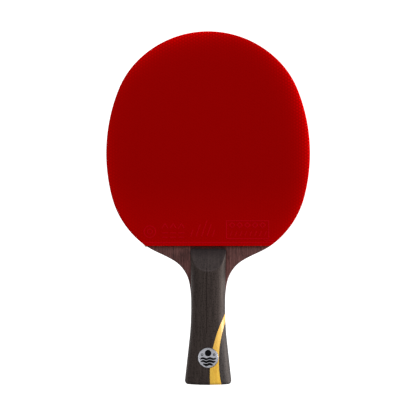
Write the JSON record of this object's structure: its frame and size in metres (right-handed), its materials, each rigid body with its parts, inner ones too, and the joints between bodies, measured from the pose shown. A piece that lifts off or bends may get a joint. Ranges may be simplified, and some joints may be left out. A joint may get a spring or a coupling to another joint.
{
  "type": "table tennis paddle",
  "caption": "Table tennis paddle: laminated blade with red and black pips-in rubbers on sponge, and a flared wooden handle with an inlaid stripe and a round badge.",
  "frame": {"origin": "middle of the overall length and width, at the level of the lowest point, the crown of the handle's back half, with the paddle lying flat and its red side up", "axes": "+X across the head, +Y from the butt of the handle to the tip of the head, +Z out of the red rubber"},
  "size_m": [0.15, 0.26, 0.023],
  "materials": {
    "core_wood": "sanded light hardwood, open grain at the edge",
    "fibre_cloth": "woven fibre layer set in resin, seen only as a thin line at the edge",
    "inner_wood": "sliced veneer, seen only at the edge",
    "face_veneer": "dark brown striped veneer, sealed, satin",
    "glue_film": "thin milky glue film",
    "sponge": "fine-celled orange sponge, cut edge",
    "topsheet_red": "smooth grippy red sheet, soft satin sheen, pips turned inwards",
    "topsheet_black": "smooth grippy black sheet, soft satin sheen, pips turned inwards",
    "handle_wood": "laminated dark dyed wood, fine lines along the grip, sanded satin",
    "stripe_wood": "yellow dyed wood inlay, sanded satin",
    "badge_metal": "brushed disc with a plain black line pattern",
    "badge_adhesive": "clear double-sided pad"
  },
  "bodies": {
    "root": {"core_ply": "core_wood", "fibre_layer_front": "fibre_cloth", "fibre_layer_back": "fibre_cloth", "inner_ply_front": "inner_wood", "inner_ply_back": "inner_wood", "face_ply_front": "face_veneer", "face_ply_back": "face_veneer", "glue_film_front": "glue_film", "glue_film_back": "glue_film", "sponge_front": "sponge", "sponge_back": "sponge", "topsheet_front": "topsheet_red", "topsheet_back": "topsheet_black", "handle_body_front": "handle_wood", "handle_body_back": "handle_wood", "handle_stripe_front": "stripe_wood", "handle_stripe_back": "stripe_wood", "handle_flank_front": "handle_wood", "handle_flank_back": "handle_wood", "badge_disc": "badge_metal", "badge_pad": "badge_adhesive"}
  },
  "joints": []
}
